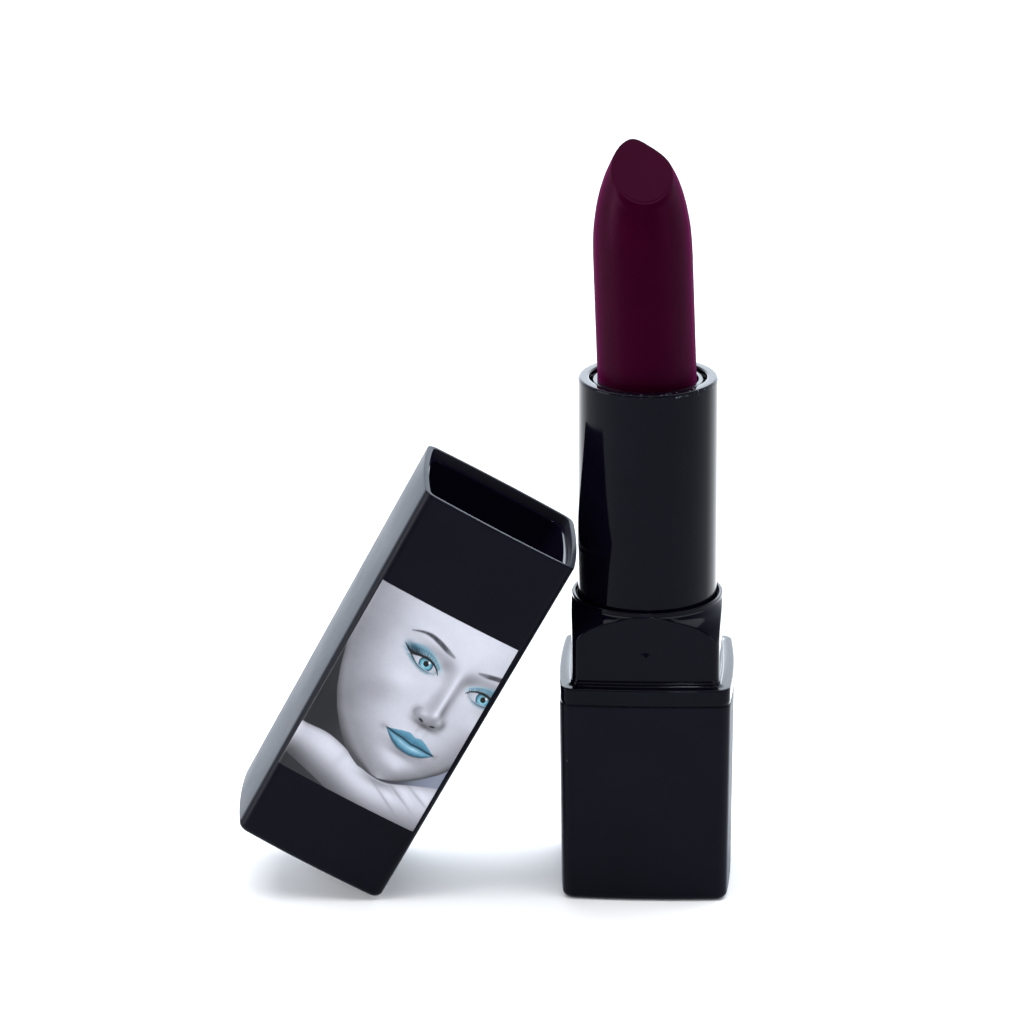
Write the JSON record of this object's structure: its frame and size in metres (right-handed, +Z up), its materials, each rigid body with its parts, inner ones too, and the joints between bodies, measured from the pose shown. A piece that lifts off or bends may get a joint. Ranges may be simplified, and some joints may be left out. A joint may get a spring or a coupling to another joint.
{
  "type": "lipstick case",
  "caption": "Square twist-up lipstick case, bullet fully raised, its cap off and leaning against the sleeve.",
  "frame": {"origin": "centre of the base's underside, on the surface it stands on", "axes": "+Z up along the case's own axis; -Y is the front, the side that carries the cap's print; +X is to the right seen from the front, and the cap leans on the -X side"},
  "size_m": [0.0615, 0.0232, 0.0939],
  "materials": {
    "base_shell": "soft matte black",
    "insert": "plain moulded",
    "weight": "turned steel",
    "label": "uncoated",
    "drag_ring": "silicone, dull",
    "fork": "polished",
    "spiral": "lubricated",
    "sleeve": "high gloss black",
    "collar": "high gloss black",
    "cup": "satin gloss",
    "bullet": "waxy plum, slight sheen",
    "cap_shell": "soft matte black",
    "cap_liner": "high gloss black",
    "print": "printed film, satin"
  },
  "bodies": {
    "base": {"base_shell": "base_shell", "base_insert": "insert", "base_weight": "weight", "shade_label": "label", "drag_ring": "drag_ring", "fork": "fork"},
    "turning_sleeve": {"collar": "collar", "outer_sleeve": "sleeve", "spiral_sleeve": "spiral"},
    "carrier": {"cup": "cup", "bullet": "bullet"},
    "cap": {"cap_shell": "cap_shell", "cap_liner": "cap_liner", "cap_print": "print"}
  },
  "joints": [
    {"name": "twist", "type": "hinge", "parent": "base", "child": "turning_sleeve", "pos_m": [0, 0, 0.0255], "axis": [0, 0, 1], "range_deg": [0, 540]},
    {"name": "bullet_slide", "type": "slide", "parent": "base", "child": "carrier", "axis": [0, 0, 1], "range_m": [-0.031, 0]},
    {"name": "cap_lift", "type": "slide", "parent": "base", "child": "cap", "axis": [0, 0, 1], "range_m": [0, 0.1]}
  ],
  "couplings": [
    {"joint": "bullet_slide", "follows": "twist", "m_per_rad": -0.0032892}
  ]
}
